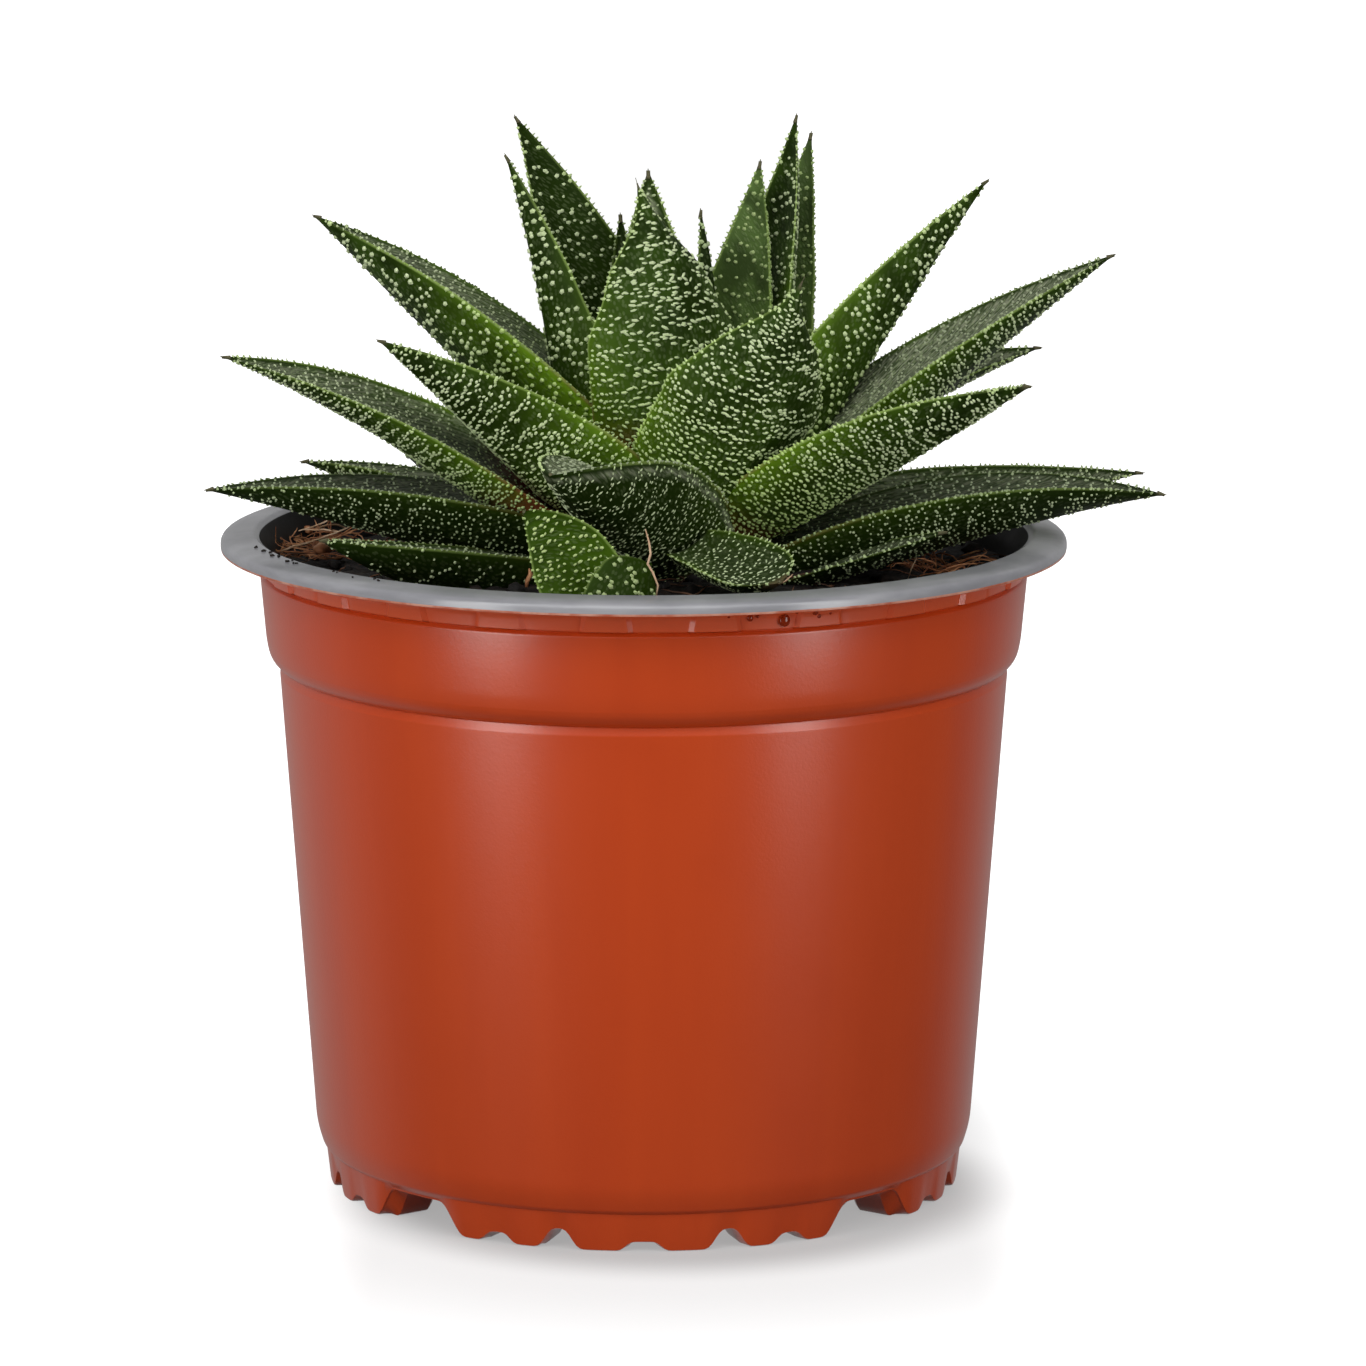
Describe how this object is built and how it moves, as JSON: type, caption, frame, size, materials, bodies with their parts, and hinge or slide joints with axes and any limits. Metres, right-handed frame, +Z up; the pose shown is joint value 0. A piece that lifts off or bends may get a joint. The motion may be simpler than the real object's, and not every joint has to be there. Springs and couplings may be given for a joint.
{
  "type": "potted gasteria",
  "caption": "Rosette of thick keeled warty succulent leaves in potting soil, in a small round two-colour plastic nursery pot.",
  "frame": {"origin": "under the middle of the plant's and pot's bounding box, on the surface that the pot stands on", "axes": "+Z up, -Y towards the side that the picture shows, +X to the picture's right"},
  "size_m": [0.1345, 0.12, 0.1507],
  "materials": {
    "pot_plastic": "satin terracotta outside, grey inside and on the rim",
    "soil": "damp dark peat and fibre",
    "leaf": "waxy deep green with pale raised warts",
    "pup_leaf": "waxy bright green with pale raised warts",
    "stem": "pale green to brown"
  },
  "bodies": {
    "root": {"pot": "pot_plastic", "soil": "soil", "stem": "stem", "leaf_heart_slim": "leaf", "leaf_heart_left": "leaf", "leaf_heart_back": "leaf", "leaf_heart_front": "leaf", "leaf_upright_left_near": "leaf", "leaf_upright_left_far": "leaf", "leaf_upright_right_near": "leaf", "leaf_upright_right_middle": "leaf", "leaf_upright_right_far": "leaf", "leaf_upright_back": "leaf", "leaf_upper_right": "leaf", "leaf_front_right": "leaf", "leaf_upper_left": "leaf", "leaf_middle_right": "leaf", "leaf_middle_left_near": "leaf", "leaf_middle_right_far": "leaf", "leaf_middle_back_right": "leaf", "leaf_middle_back": "leaf", "leaf_middle_back_left": "leaf", "leaf_middle_right_near": "leaf", "leaf_middle_left": "leaf", "leaf_front": "leaf", "leaf_low_back_right": "leaf", "leaf_low_back": "leaf", "leaf_low_back_middle": "leaf", "leaf_low_back_left": "leaf", "leaf_low_left_far": "leaf", "leaf_low_left": "leaf", "leaf_low_right": "leaf", "leaf_low_right_far": "leaf", "leaf_soil_left": "leaf", "leaf_soil_right": "leaf", "leaf_soil_front": "leaf", "pup_leaf_tall": "pup_leaf", "pup_leaf_short": "pup_leaf"}
  },
  "joints": []
}
